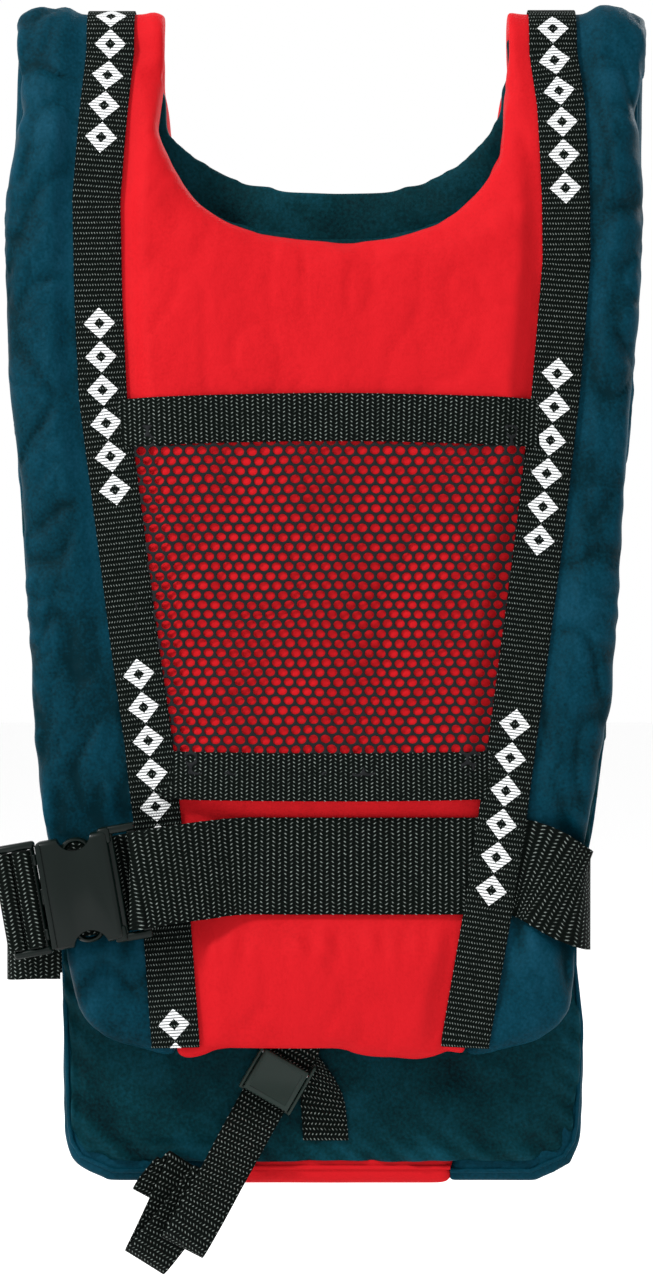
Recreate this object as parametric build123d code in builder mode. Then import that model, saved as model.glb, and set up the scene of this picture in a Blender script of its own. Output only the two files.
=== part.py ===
from build123d import *
import math
import os

# Foam buoyancy vest: two padded panels hung over a shoulder fold, a waist belt with a
# side-release buckle, and a crotch strap with a cam buckle. Millimetres, +Z up, the
# front faces -Y. The origin is the inside of the shoulder fold, where the vest hangs.

# Panels. Depth is measured forward from the mid plane: positive in front, negative behind.
inner_gap = 8.0
lining_thick = 1.2
skin_thick = 1.2
seam_clear = 0.2
front_depth = 34.4
back_depth = 32.4
lining_face = inner_gap / 2 + lining_thick
pad_start = lining_face + seam_clear

# Shoulder fold
fold_inner = inner_gap / 2
fold_outer = 20.0
fold_z = -fold_inner
ridge_half_angle = 20.0
pad_bottom = -60.0
ridge_clear = 1.0
left_shoulder = (-163.0, -86.0)
right_shoulder = (92.0, 167.0)

# Hems and webbing
front_hem = -522.0
back_hem = -593.0
hem_corner_r = 24.0
strap_hem_gap = 2.0
strap_wide = 25.0
strap_thick = 1.6
belt_wide = 50.0
belt_thick = 2.0
webbing_clear = 0.4
strap_face = front_depth + seam_clear
belt_face = strap_face + strap_thick + webbing_clear
back_strap_face = back_depth + seam_clear
back_belt_face = back_strap_face + strap_thick + webbing_clear
belt_top = -403.0
belt_bottom = -456.0
raised_clear = 6.0

# The belt's run across the back stands a little lower on the left.
back_run = 124.0
back_mid = -458.0
back_drop = 7.0
wrap_foot = {"right": -476.0, "left": -490.0}
wrap_bend = 6.0
keeper_at = 108.0
keeper_wide = 14.0
keeper_spare = 3.0

# Pocket
mesh_thick = 0.8
band_face = strap_face + mesh_thick + seam_clear
pocket_top = -187.0
band_tall = 25.0
band_lap = 8.0
pocket_base = -395.0
strap_gap = 1.2

# Waist buckle
buckle_tilt = 10.0
buckle_mouth = (-146.0, -445.0)
buckle_depth = 43.5
socket_wide = 57.0
socket_long = 36.0
socket_thick = 12.4
socket_wall = 4.0
plate_thick = 2.0
window_start = 11.5
window_end = 29.5
window_deep = 8.0
bar_reach = 52.0
frame_thick = 5.0
plug_base_long = 17.0
prong_root = 0.3
prong_loop_at = 22.0
prong_loop_r = 6.0
prong_loop_v = 19.7
prong_thick = 7.0
prong_bar = 2.8
prong_inset = 2.0
socket_corner_r = 2.5
window_corner_r = 7.5
slot_wide = belt_wide + 1.4
bar_wide = 4.0
belt_leg = 9.0
plug_web_at = 15.6
plug_leg_end = -9.5
plug_gap = 0.6
plug_slot_at = -11.0
plug_slot_long = 6.0
tongue_at = 8.0
tongue_long = 18.0
tongue_wide = 9.0
tongue_thick = 4.0

# Crotch strap and its cam buckle
cam_centre = (-25.5, -543.0)
cam_lean = 30.0
cam_wide = 31.0
cam_long = 29.0
cam_rail = 1.8
cam_back = -1.2
cam_tall = 8.2
cam_base = 1.4
cam_fit = 0.4
pin_fit = 0.05
pin_along = 8.0
pin_rise = 5.4
pin_r = 1.2
barrel_r = 2.2
lid_thick = 2.4
lid_overhang = 1.0
lid_proud = 1.2
lid_half = cam_wide / 2 - cam_rail - cam_fit
cam_slot_drop = 6.0
cam_slot_long = 5.0
cam_slot_spare = 0.6
crotch_strap_wide = 25.0
crotch_strap_thick = 1.5
anchor_depth = 2.0
anchor_top = -500.0
anchor_spread = 6.0
web_depth = 0.4
web_thick = 1.3
link_depth = -3.2
tail_bend_share = 0.45

os.makedirs("parts", exist_ok=True)


def save(piece, name):
    """Label a finished piece and write it."""
    piece.part.label = name
    export_step(piece.part, "parts/" + name + ".step")


# ---------------------------------------------------------------- outlines, seen from the front
# The seams under the two vertical straps, from the shoulders to the hem.
left_seam = [(-117, pad_bottom), (-119, -95), (-114, -195), (-79, front_hem)]
right_seam = [(124, pad_bottom), (125, -105), (118, -195), (73, front_hem)]
back_left_seam = [(-117, pad_bottom), (-119, -95), (-112, -195), (-62, back_hem)]
back_right_seam = [(124, pad_bottom), (125, -105), (116, -195), (66, back_hem)]


def centre_outline(seam_a, seam_b, neck):
    """The middle panel: a round neck above, a sloping seam on each side, a straight hem."""
    with BuildSketch() as outline:
        with BuildLine():
            ThreePointArc(*neck[0:3])
            ThreePointArc(*neck[2:5])
            ThreePointArc(*neck[4:7])
            Polyline(neck[-1], *seam_b)
            Line(seam_b[-1], seam_a[-1])
            Polyline(*reversed(seam_a), neck[0])
        make_face()
        offset(amount=-seam_clear)
    return outline.sketch


def side_outline(seam, edge, corner):
    """A side panel between a seam and the outer edge, with a round lower corner."""
    with BuildSketch() as outline:
        with BuildLine():
            Polyline(*seam, *reversed(edge), close=True)
        make_face()
        fillet(outline.vertices().sort_by(Axis.Y)[:2].sort_by(Axis.X)[corner], radius=hem_corner_r)
        offset(amount=-seam_clear)
    return outline.sketch


# Each neck is three arcs: a side, the bottom and the other side.
front_neck = [(-81, pad_bottom), (-73, -74), (-60, -85), (2, -99), (64, -86), (79, -74),
              (87, pad_bottom)]
back_neck = [(-70, pad_bottom), (-58, -68), (-44, -73), (2, -78.5), (50, -73), (64, -68),
             (74, pad_bottom)]
front_left_edge = [(-163, pad_bottom), (-168, -180), (-154, -364), (-136, -476), (-131, front_hem)]
front_right_edge = [(167, pad_bottom), (160, -187), (147, -364), (132, -467), (129, front_hem)]
back_left_edge = [(-162, pad_bottom), (-167, -190), (-150, -400), (-142, -490), (-139, back_hem)]
back_right_edge = [(166, pad_bottom), (162, -190), (148, -400), (138, -490), (136, back_hem)]

front_plans = {
    "left": side_outline(left_seam, front_left_edge, 0),
    "centre": centre_outline(left_seam, right_seam, front_neck),
    "right": side_outline(right_seam, front_right_edge, 1),
}
back_plans = {
    "left": side_outline(back_left_seam, back_left_edge, 0),
    "centre": centre_outline(back_left_seam, back_right_seam, back_neck),
    "right": side_outline(back_right_seam, back_right_edge, 1),
}


# ---------------------------------------------------------------- panels
def foam_slab(plan, near, far):
    """A closed-cell foam slab, just clear of the cover round it."""
    with BuildPart() as foam:
        with BuildSketch(Plane.XZ.offset(near)):
            add(plan)
            offset(amount=-(skin_thick + seam_clear))
        extrude(amount=far - near)
    return foam


def cover(plan, near, far):
    """A fabric cover: a thin tray over the foam, open towards the lining."""
    away = math.copysign(skin_thick, far - near)
    with BuildPart() as tray:
        with BuildSketch(Plane.XZ.offset(near)):
            add(plan)
        extrude(amount=far - near)
        with BuildSketch(Plane.XZ.offset(near)):
            add(plan)
            offset(amount=-skin_thick)
        extrude(amount=far - near - away, mode=Mode.SUBTRACT)
    return tray


for side, plan in front_plans.items():
    foam_face = front_depth - skin_thick - seam_clear
    save(foam_slab(plan, pad_start, foam_face), "front_foam_" + side)
    save(cover(plan, pad_start, front_depth), "front_cover_" + side)

for side, plan in back_plans.items():
    foam_face = back_depth - skin_thick - seam_clear
    save(foam_slab(plan, -pad_start, -foam_face), "back_foam_" + side)
    save(cover(plan, -pad_start, -back_depth), "back_cover_" + side)


def lining(neck, left_edge, right_edge, near, far):
    """The one-piece lining behind the covers."""
    with BuildPart() as sheet:
        with BuildSketch(Plane.XZ.offset(near)) as outline:
            with BuildLine():
                ThreePointArc(*neck[0:3])
                ThreePointArc(*neck[2:5])
                ThreePointArc(*neck[4:7])
                Polyline(neck[-1], *right_edge)
                Line(right_edge[-1], left_edge[-1])
                Polyline(*reversed(left_edge), neck[0])
            make_face()
            fillet(outline.vertices().sort_by(Axis.Y)[:2], radius=hem_corner_r)
        extrude(amount=far - near)
    return sheet


front_sheet = lining(front_neck, front_left_edge, front_right_edge, fold_inner, lining_face)
back_sheet = lining(back_neck, back_left_edge, back_right_edge, -fold_inner, -lining_face)
save(front_sheet, "front_lining")
save(back_sheet, "back_lining")


# ---------------------------------------------------------------- shoulder fold
def fold_profile(sign, depth, inner, outer, thick_at_foot):
    """One half of the fold seen from the side: a quarter arch with a leg that thickens."""
    up = 90 + sign * ridge_half_angle
    level = 90 + sign * 90
    turn = level - up
    foot = depth - thick_at_foot
    with BuildSketch() as profile:
        with BuildLine():
            outer_arc = CenterArc((0, fold_z), outer, level, -turn)
            inner_arc = CenterArc((0, fold_z), inner, up, turn)
            Line(outer_arc @ 1, inner_arc @ 0)
            Polyline(inner_arc @ 1, (-sign * foot, pad_bottom), (-sign * depth, pad_bottom),
                     outer_arc @ 0)
        make_face()
    return profile.sketch


def shoulder_pad(span, sign, depth):
    """The padded top of a panel, up to the ridge of the fold."""
    with BuildPart() as pad:
        with BuildSketch(Plane.YZ.offset(span[0])):
            add(fold_profile(sign, depth, fold_inner, fold_outer, depth - fold_inner))
        extrude(amount=span[1] - span[0])
        with BuildSketch(Plane.XY.offset(pad_bottom)):
            with Locations(((span[0] + span[1]) / 2, 0)):
                Rectangle(span[1] - span[0], 4 * fold_outer)
        extrude(amount=seam_clear, mode=Mode.SUBTRACT)
    return pad


def ridge(span, inner, outer):
    """The soft top of the fold between the two halves."""
    half = ridge_half_angle - ridge_clear
    with BuildPart() as top:
        with BuildSketch(Plane.YZ.offset(span[0])):
            with BuildLine():
                outer_arc = CenterArc((0, fold_z), outer, 90 - half, 2 * half)
                inner_arc = CenterArc((0, fold_z), inner, 90 + half, -2 * half)
                Line(outer_arc @ 1, inner_arc @ 0)
                Line(inner_arc @ 1, outer_arc @ 0)
            make_face()
        extrude(amount=span[1] - span[0])
    return top


for side, span in (("left", left_shoulder), ("right", right_shoulder)):
    save(shoulder_pad(span, 1, front_depth), "front_shoulder_" + side)
    save(shoulder_pad(span, -1, back_depth), "back_shoulder_" + side)
    save(ridge(span, fold_inner, fold_outer), "shoulder_ridge_" + side)


# ---------------------------------------------------------------- vertical straps
def seam_x(seam, z):
    """Where a seam stands at a height, on its long lower stretch."""
    (x0, z0), (x1, z1) = seam[-2:]
    return x0 + (x1 - x0) * (z - z0) / (z1 - z0)


def strap_run(seam, depth, hem, lift):
    """A webbing run down a panel. lift is a stretch that stands over the belt."""
    sign = math.copysign(1, depth)
    far = depth + sign * strap_thick
    top_x = seam[0][0]
    span = (top_x - strap_wide / 2, top_x + strap_wide / 2)
    fold_r = fold_outer + seam_clear
    with BuildPart() as run:
        with BuildSketch(Plane.YZ.offset(span[0])):
            add(fold_profile(sign, abs(far), fold_r, fold_r + strap_thick, strap_thick))
        extrude(amount=strap_wide)
        with BuildSketch(Plane.XZ.offset(depth)):
            with BuildLine():
                left = [(x - strap_wide / 2, z) for x, z in seam[:-1] + [(seam[-1][0], hem)]]
                right = [(x + strap_wide, z) for x, z in reversed(left)]
                Polyline(*left, *right, close=True)
            make_face()
        extrude(amount=far - depth)
        if lift:
            low, high, raised = lift
            half = strap_wide / 2
            with BuildSketch(Plane.XZ.offset(depth)):
                with BuildLine():
                    low_x = seam_x(seam, low)
                    high_x = seam_x(seam, high)
                    Polyline((low_x - half, low), (low_x + half, low), (high_x + half, high),
                             (high_x - half, high), close=True)
                make_face()
            extrude(amount=raised + strap_thick - depth)
            under = depth - seam_clear
            with BuildSketch(Plane.YZ):
                with Locations((-(raised + under) / 2, (low + high) / 2)):
                    Rectangle(raised - under, high - low - 2 * strap_thick)
            extrude(amount=right_shoulder[1], mode=Mode.SUBTRACT)
    return run


raised_face = belt_face + belt_thick + webbing_clear
belt_window = (belt_bottom - raised_clear, belt_top + raised_clear, raised_face)
save(strap_run(left_seam, strap_face, front_hem, None), "front_strap_left")
save(strap_run(right_seam, strap_face, front_hem, belt_window), "front_strap_right")
save(strap_run(back_left_seam, -back_strap_face, back_hem + strap_hem_gap, None), "back_strap_left")
save(strap_run(back_right_seam, -back_strap_face, back_hem + strap_hem_gap, None), "back_strap_right")

for side, x in (("left", left_seam[0][0]), ("right", right_seam[0][0])):
    over = (x - strap_wide / 2, x + strap_wide / 2)
    inner = fold_outer + seam_clear
    save(ridge(over, inner, inner + strap_thick), "strap_ridge_" + side)


# ---------------------------------------------------------------- mesh pocket
def between_straps(low, high, near, thick):
    """A flat layer sewn between the two vertical straps."""
    inset = strap_wide / 2 + strap_gap
    with BuildPart() as layer:
        with BuildSketch(Plane.XZ.offset(near)):
            with BuildLine():
                Polyline((seam_x(left_seam, low) + inset, low),
                         (seam_x(right_seam, low) - inset, low),
                         (seam_x(right_seam, high) - inset, high),
                         (seam_x(left_seam, high) + inset, high), close=True)
            make_face()
        extrude(amount=thick)
    return layer


top_band_foot = pocket_top - band_tall
base_band_head = pocket_base + band_tall
mesh_low = base_band_head - band_lap
mesh_high = top_band_foot + band_lap
save(between_straps(mesh_low, mesh_high, strap_face, mesh_thick), "pocket_mesh")
save(between_straps(top_band_foot, pocket_top, band_face, strap_thick), "pocket_band_top")
save(between_straps(pocket_base, base_band_head, band_face, strap_thick), "pocket_band_bottom")


# ---------------------------------------------------------------- waist belt
# Level across the middle, dropping towards the buckle on the left and the wrap on the right.
belt_front_edge = [(-100, -408), (-60, belt_top), (103, belt_top), (138, -420), (138, -473),
                   (96, belt_bottom), (-60, belt_bottom), (-96, -459)]
with BuildPart() as belt_front:
    with BuildSketch(Plane.XZ.offset(belt_face)):
        with BuildLine():
            Polyline(*belt_front_edge, close=True)
        make_face()
    extrude(amount=belt_thick)
save(belt_front, "belt_front")

half_belt = belt_wide / 2
left_mid = back_mid - back_drop
right_mid = back_mid + back_drop
with BuildPart() as belt_back:
    with BuildSketch(Plane.XZ.offset(-back_belt_face)):
        with BuildLine():
            Polyline((-back_run, left_mid - half_belt), (back_run, right_mid - half_belt),
                     (back_run, right_mid + half_belt), (-back_run, left_mid + half_belt),
                     close=True)
        make_face()
    extrude(amount=-belt_thick)
save(belt_back, "belt_back")

# Each wrap is drawn from above, along the middle of the webbing.
wrap_end = back_run + 1.5
wrap_back = back_belt_face + belt_thick / 2
wraps = {
    "right": [(141, -belt_face - belt_thick / 2), (151, -30), (158, -10), (158, 12), (154, 33.5),
              (wrap_end, wrap_back)],
    "left": [(-138, -36), (-152, -35.9), (-164, -24), (-167, -8), (-167, 12), (-158, 33),
             (-wrap_end, wrap_back)],
}
for side, route in wraps.items():
    with BuildPart() as wrap:
        with BuildSketch(Plane.XY.offset(wrap_foot[side])):
            with BuildLine() as bend:
                FilletPolyline(*route, radius=wrap_bend)
            trace(bend.edges(), line_width=belt_thick)
        extrude(amount=belt_wide)
    save(wrap, "belt_side_" + side)

for side, x in (("left", -keeper_at), ("right", keeper_at)):
    mid = back_mid + x * back_drop / back_run
    inside = half_belt + keeper_spare
    outer = inside + strap_thick
    face = back_strap_face
    lid = back_belt_face + belt_thick + webbing_clear
    with BuildPart() as keeper:
        with BuildSketch(Plane.YZ.offset(x - keeper_wide / 2)):
            with Locations(((face + lid + strap_thick) / 2, mid)):
                Rectangle(lid + strap_thick - face, 2 * outer)
            with Locations(((face + lid) / 2, mid)):
                Rectangle(lid - face, 2 * inside, mode=Mode.SUBTRACT)
        extrude(amount=keeper_wide)
    save(keeper, "belt_keeper_" + side)


# ---------------------------------------------------------------- side-release buckle
# Its own frame: u runs from the socket's mouth towards the belt, v is across, w is forward.
tilt = math.radians(buckle_tilt)
buckle_frame = Plane(origin=(buckle_mouth[0], -buckle_depth, buckle_mouth[1]),
                     x_dir=(math.cos(tilt), 0, math.sin(tilt)), z_dir=(0, -1, 0))
window_at = (window_start + window_end) / 2
overlap = 1.0
frame_long = bar_reach - socket_long

with BuildPart() as socket:
    with BuildSketch(buckle_frame.offset(-socket_thick / 2)):
        with Locations((socket_long / 2, 0)):
            Rectangle(socket_long, socket_wide)
    extrude(amount=socket_thick)
    fillet(socket.edges().filter_by(Axis.Y), radius=socket_corner_r)
    with BuildSketch(buckle_frame.offset(-socket_thick / 2 + plate_thick)):
        with Locations(((socket_long - socket_wall) / 2, 0)):
            Rectangle(socket_long - socket_wall, socket_wide - 2 * socket_wall)
    extrude(amount=socket_thick - 2 * plate_thick, mode=Mode.SUBTRACT)
    with BuildSketch(buckle_frame.offset(-socket_thick)):
        with Locations((window_at, socket_wide / 2), (window_at, -socket_wide / 2)):
            RectangleRounded(window_end - window_start, 2 * window_deep, window_corner_r)
    extrude(amount=2 * socket_thick, mode=Mode.SUBTRACT)
    with BuildSketch(buckle_frame.offset(-frame_thick / 2)):
        with Locations(((socket_long - overlap + bar_reach) / 2, 0)):
            Rectangle(frame_long + overlap, socket_wide)
        with Locations(((socket_long + bar_reach - bar_wide) / 2, 0)):
            Rectangle(frame_long - bar_wide, slot_wide, mode=Mode.SUBTRACT)
    extrude(amount=frame_thick)
save(socket, "buckle_socket")


def webbing_fold(bar_middle, legs_to):
    """Webbing folded round a bar, with its two legs running to one side."""
    inner = frame_thick / 2 + webbing_clear
    outer = inner + belt_thick
    toward = math.copysign(1, legs_to - bar_middle)
    nose = bar_middle - toward * (bar_wide / 2 + webbing_clear + belt_thick)
    with BuildPart() as fold:
        with BuildSketch(Plane(origin=buckle_frame.origin - half_belt * buckle_frame.y_dir,
                               x_dir=buckle_frame.x_dir, z_dir=buckle_frame.y_dir)):
            with Locations(((nose + legs_to) / 2, 0)):
                Rectangle(abs(legs_to - nose), 2 * outer)
            hollow_start = nose + toward * belt_thick
            with Locations(((hollow_start + legs_to) / 2, 0)):
                Rectangle(abs(legs_to - hollow_start), 2 * inner, mode=Mode.SUBTRACT)
        extrude(amount=belt_wide)
    return fold


save(webbing_fold(bar_reach - bar_wide / 2, bar_reach + belt_leg), "belt_fold")

with BuildPart() as plug:
    with BuildSketch(buckle_frame.offset(-frame_thick / 2)):
        with Locations((-plug_base_long / 2 - plug_gap, 0)):
            Rectangle(plug_base_long, socket_wide - overlap)
        with Locations((plug_slot_at, 0)):
            Rectangle(plug_slot_long, slot_wide, mode=Mode.SUBTRACT)
    extrude(amount=frame_thick)
    with BuildSketch(buckle_frame.offset(-tongue_thick / 2)):
        with Locations((tongue_at, 0)):
            Rectangle(tongue_long, tongue_wide)
    extrude(amount=tongue_thick)
save(plug, "buckle_plug")
save(webbing_fold(-plug_web_at, plug_leg_end), "plug_webbing")

for side, sign in (("upper", 1), ("lower", -1)):
    with BuildPart() as prong:
        with BuildSketch(buckle_frame.offset(-prong_thick / 2)):
            with Locations((prong_loop_at, sign * prong_loop_v)):
                Circle(prong_loop_r)
            with BuildLine():
                bar_v = sign * (prong_loop_v + prong_loop_r - prong_bar - prong_inset)
                inner_v = bar_v - sign * prong_bar
                Polyline((prong_root, inner_v), (prong_loop_at, inner_v), (prong_loop_at, bar_v),
                         (prong_root, bar_v), close=True)
            make_face()
            with Locations((prong_loop_at, sign * prong_loop_v)):
                Circle(prong_loop_r - prong_bar, mode=Mode.SUBTRACT)
        extrude(amount=prong_thick)
    save(prong, "prong_" + side)


# ---------------------------------------------------------------- crotch strap
# The cam buckle's frame: across is its width, along points up the strap.
lean = math.radians(cam_lean)
along = Vector(math.sin(lean), 0, math.cos(lean))
across = Vector(math.cos(lean), 0, -math.sin(lean))


def cam_plane(depth):
    """A plane facing forward at a depth, centred on the cam buckle and turned with it."""
    return Plane(origin=(cam_centre[0], -depth, cam_centre[1]), x_dir=across, z_dir=(0, -1, 0))


rail_at = (cam_wide - cam_rail) / 2
with BuildPart() as cam_frame:
    with BuildSketch(cam_plane(cam_back)):
        Rectangle(cam_wide, cam_long)
        with Locations((0, cam_long / 2 - cam_slot_drop)):
            Rectangle(crotch_strap_wide + cam_slot_spare, cam_slot_long, mode=Mode.SUBTRACT)
    extrude(amount=cam_base)
    with BuildSketch(cam_plane(cam_back)):
        with Locations((rail_at, 0), (-rail_at, 0)):
            Rectangle(cam_rail, cam_long)
    extrude(amount=cam_tall)
save(cam_frame, "cam_frame")

pin_depth = cam_back + pin_rise
pin_half = cam_wide / 2 - cam_rail - pin_fit
pin_end = cam_plane(pin_depth).from_local_coords(Vector(-pin_half, pin_along, 0))
with BuildPart() as cam_pin:
    with BuildSketch(Plane(origin=pin_end, x_dir=along, z_dir=across)):
        Circle(pin_r)
    extrude(amount=2 * pin_half)
save(cam_pin, "cam_pin")

# The lever turns on the pin: a flat lid with a round cam under its upper end.
lid_face = cam_back + cam_tall - lid_thick + lid_proud
lever_end = cam_plane(pin_depth).from_local_coords(Vector(-lid_half, pin_along, 0))
lever_side = Plane(origin=lever_end, x_dir=along, z_dir=across)
lid_lift = lid_face - pin_depth
with BuildPart() as cam_lever:
    with BuildSketch(lever_side):
        Circle(barrel_r)
        with BuildLine():
            lid_top = lid_lift + lid_thick
            lid_end = -cam_long / 2 - pin_along + lid_overhang
            Polyline((barrel_r, 0), (barrel_r, lid_top), (lid_end, lid_top), (lid_end, lid_lift),
                     (-barrel_r, lid_lift), (-barrel_r, 0), close=True)
        make_face()
        Circle(pin_r + pin_fit, mode=Mode.SUBTRACT)
    extrude(amount=2 * lid_half)
save(cam_lever, "cam_lever")

# Above the cam buckle the strap is sewn inside the front's hem.
anchor_foot = cam_plane(anchor_depth).from_local_coords(Vector(0, cam_long / 2 + cam_fit, 0))
anchor_left = anchor_foot - across * crotch_strap_wide / 2
anchor_right = anchor_foot + across * crotch_strap_wide / 2
with BuildPart() as crotch_anchor:
    with BuildSketch(Plane.XZ.offset(anchor_depth)):
        with BuildLine():
            Polyline((anchor_left.X, anchor_left.Z), (anchor_left.X + anchor_spread, anchor_top),
                     (anchor_right.X + 2 * anchor_spread, anchor_top),
                     (anchor_right.X, anchor_right.Z), close=True)
        make_face()
    extrude(amount=crotch_strap_thick)
save(crotch_anchor, "crotch_anchor")

with BuildPart() as crotch_web:
    with BuildSketch(cam_plane(web_depth)):
        Rectangle(crotch_strap_wide, cam_long)
    extrude(amount=web_thick)
save(crotch_web, "crotch_web")

# The strap's other end is sewn inside the back and turns up towards the buckle.
link_edge = [(-12, -578), (12, -578), (8, -545), (-6, -530), (-30, -540), (-16, -555)]
with BuildPart() as crotch_link:
    with BuildSketch(Plane.XZ.offset(link_depth)):
        with BuildLine():
            Polyline(*link_edge, close=True)
        make_face()
    extrude(amount=crotch_strap_thick)
save(crotch_link, "crotch_link")

# The strap's free tail leaves the lower end of the cam buckle and is folded to and fro.
# Each point of its route is the distance down the strap's line and how far forward it lies.
tail_exit = cam_plane(0).from_local_coords(Vector(0, -cam_long / 2 - cam_fit, 0))
tail_plane = Plane(origin=tail_exit + across * crotch_strap_wide / 2, x_dir=-along, z_dir=-across)
tail_route = [(0, 1.2), (18, 5), (44, 15), (76, 17), (79, 15), (76, 13), (50, 12.5),
              (46, 10.5), (50, 8.5), (92, 8.7), (95, 6.6), (92, 4.5), (48, 4.3),
              (45, 2.8), (48, 1.3), (66, 1.0), (68.5, -0.6), (66, -2.2), (52, -2.0)]
tail_radii = []
for before, here, after in zip(tail_route, tail_route[1:], tail_route[2:]):
    run_in = Vector(*before) - Vector(*here)
    run_out = Vector(*after) - Vector(*here)
    half_turn = math.radians(180 - run_in.get_angle(run_out)) / 2
    tail_radii.append(tail_bend_share * min(run_in.length, run_out.length) / math.tan(half_turn))

with BuildPart() as strap_tail:
    with BuildSketch(tail_plane):
        with BuildLine() as tail_line:
            FilletPolyline(*tail_route, radius=tail_radii)
        trace(tail_line.edges(), line_width=crotch_strap_thick)
    extrude(amount=crotch_strap_wide)
save(strap_tail, "strap_tail")
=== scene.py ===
import math
from functools import partial

import bmesh
import bpy
import numpy as np
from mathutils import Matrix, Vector, noise
from mathutils.bvhtree import BVHTree


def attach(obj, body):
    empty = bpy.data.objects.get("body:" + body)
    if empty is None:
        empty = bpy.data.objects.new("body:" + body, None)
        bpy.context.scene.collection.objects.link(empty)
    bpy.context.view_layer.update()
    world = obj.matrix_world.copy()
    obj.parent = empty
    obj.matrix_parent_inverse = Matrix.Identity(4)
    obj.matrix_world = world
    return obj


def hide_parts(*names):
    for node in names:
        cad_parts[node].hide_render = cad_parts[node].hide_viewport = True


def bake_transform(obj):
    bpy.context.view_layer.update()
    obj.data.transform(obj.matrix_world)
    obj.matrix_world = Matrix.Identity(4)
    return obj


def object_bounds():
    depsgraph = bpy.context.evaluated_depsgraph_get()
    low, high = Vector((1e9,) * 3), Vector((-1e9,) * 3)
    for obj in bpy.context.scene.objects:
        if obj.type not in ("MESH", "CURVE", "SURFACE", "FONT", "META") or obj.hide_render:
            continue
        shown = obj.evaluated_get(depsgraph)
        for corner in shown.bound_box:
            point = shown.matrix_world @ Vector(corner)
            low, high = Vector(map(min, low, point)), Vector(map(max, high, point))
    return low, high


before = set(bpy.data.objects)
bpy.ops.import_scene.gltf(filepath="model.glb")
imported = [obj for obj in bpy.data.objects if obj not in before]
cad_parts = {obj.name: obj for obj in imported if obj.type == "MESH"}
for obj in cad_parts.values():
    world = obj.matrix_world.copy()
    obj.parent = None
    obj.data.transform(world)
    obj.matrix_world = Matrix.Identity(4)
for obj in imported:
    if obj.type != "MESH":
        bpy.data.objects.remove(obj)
cad_low, cad_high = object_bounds()

# -------------------------------- camera, light and floor
# The vest hangs straight down and is seen square from the front by a long lens. A pale
# floor and a pale, even sky light it as a plain product table does.
view_centre = Vector((0.0003, -0.034, -0.3122))
view_tall = 0.6656
lens_mm = 100.0
sensor_mm = 36.0


def placed(name, data):
    """A new object in the scene."""
    holder = bpy.data.objects.new(name, data)
    bpy.context.scene.collection.objects.link(holder)
    return holder


camera_data = bpy.data.cameras.new("camera")
camera_data.lens = lens_mm
camera_data.sensor_width = sensor_mm
camera = placed("camera", camera_data)
camera.location = view_centre - Vector((0, view_tall * lens_mm / sensor_mm, 0))
camera.rotation_euler = (math.pi / 2, 0, 0)
bpy.context.scene.camera = camera
bpy.context.scene.view_settings.view_transform = "Standard"

world = bpy.data.worlds.new("pale_sky")
bpy.context.scene.world = world
world.use_nodes = True
sky = world.node_tree.nodes["Background"]
sky.inputs["Color"].default_value = (1.0, 1.0, 1.0, 1.0)
sky.inputs["Strength"].default_value = 1.0


def soft_light(name, place, aim, size, power):
    """A large square lamp that faces a point."""
    lamp = bpy.data.lights.new(name, "AREA")
    lamp.size = size
    lamp.energy = power
    holder = placed(name, lamp)
    holder.location = place
    holder.rotation_euler = (Vector(aim) - Vector(place)).to_track_quat("-Z", "Y").to_euler()


vest_middle = (0, 0, -0.3)
soft_light("key", (-1.5, -1.2, 1.3), vest_middle, size=0.4, power=58)
soft_light("back_key", (1.3, 1.6, 1.0), vest_middle, size=0.6, power=26)

floor_drop = 0.06
bpy.ops.object.select_all(action="DESELECT")
bpy.ops.mesh.primitive_plane_add(size=30, location=(0, 0, cad_low.z - floor_drop))
floor = bpy.context.object
floor.name = "floor"
floor_paint = bpy.data.materials.new("pale_floor")
floor_paint.use_nodes = True
floor_shader = floor_paint.node_tree.nodes["Principled BSDF"]
floor_shader.inputs["Base Color"].default_value = (0.97, 0.97, 0.97, 1)
floor_shader.inputs["Roughness"].default_value = 0.9
floor.data.materials.append(floor_paint)

# -------------------------------- webbing
# Polyester webbing, woven in ribs across its length: 25 mm on the shoulders and crotch,
# 50 mm at the waist. Each run is a flat ribbon with its weave laid along it by its UV map,
# in metres, u across and v along.


def node_of(paint, kind, **inputs):
    """A shader node with some of its inputs set, by name or by number."""
    made = paint.node_tree.nodes.new(kind)
    for key, value in inputs.items():
        if key.startswith("in"):
            made.inputs[int(key[2:])].default_value = value
        else:
            setattr(made, key, value)
    return made


def sum_of(paint, operation, first, second=None, third=None):
    """A maths node fed by sockets or numbers."""
    made = node_of(paint, "ShaderNodeMath", operation=operation)
    for place, value in enumerate((first, second, third)):
        if value is None:
            continue
        if isinstance(value, (int, float)):
            made.inputs[place].default_value = value
        else:
            paint.node_tree.links.new(value, made.inputs[place])
    return made.outputs[0]


def fresh_paint(name, roughness, values):
    """A new material and its shader, with values by the names of its inputs."""
    paint = bpy.data.materials.new(name)
    paint.use_nodes = True
    shader = paint.node_tree.nodes["Principled BSDF"]
    shader.inputs["Roughness"].default_value = roughness
    for key, value in values.items():
        shader.inputs[key].default_value = value
    return paint, shader


def link(paint, source, target):
    """Joins two sockets."""
    paint.node_tree.links.new(source, target)


def ramp(paint, factor, stops):
    """A colour ramp from (place, colour) stops."""
    made = node_of(paint, "ShaderNodeValToRGB")
    elements = made.color_ramp.elements
    while len(elements) < len(stops):
        elements.new(0.5)
    for element, (place, colour) in zip(elements, stops):
        element.position = place
        element.color = (*colour, 1)
    link(paint, factor, made.inputs[0])
    return made.outputs[0]


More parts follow.
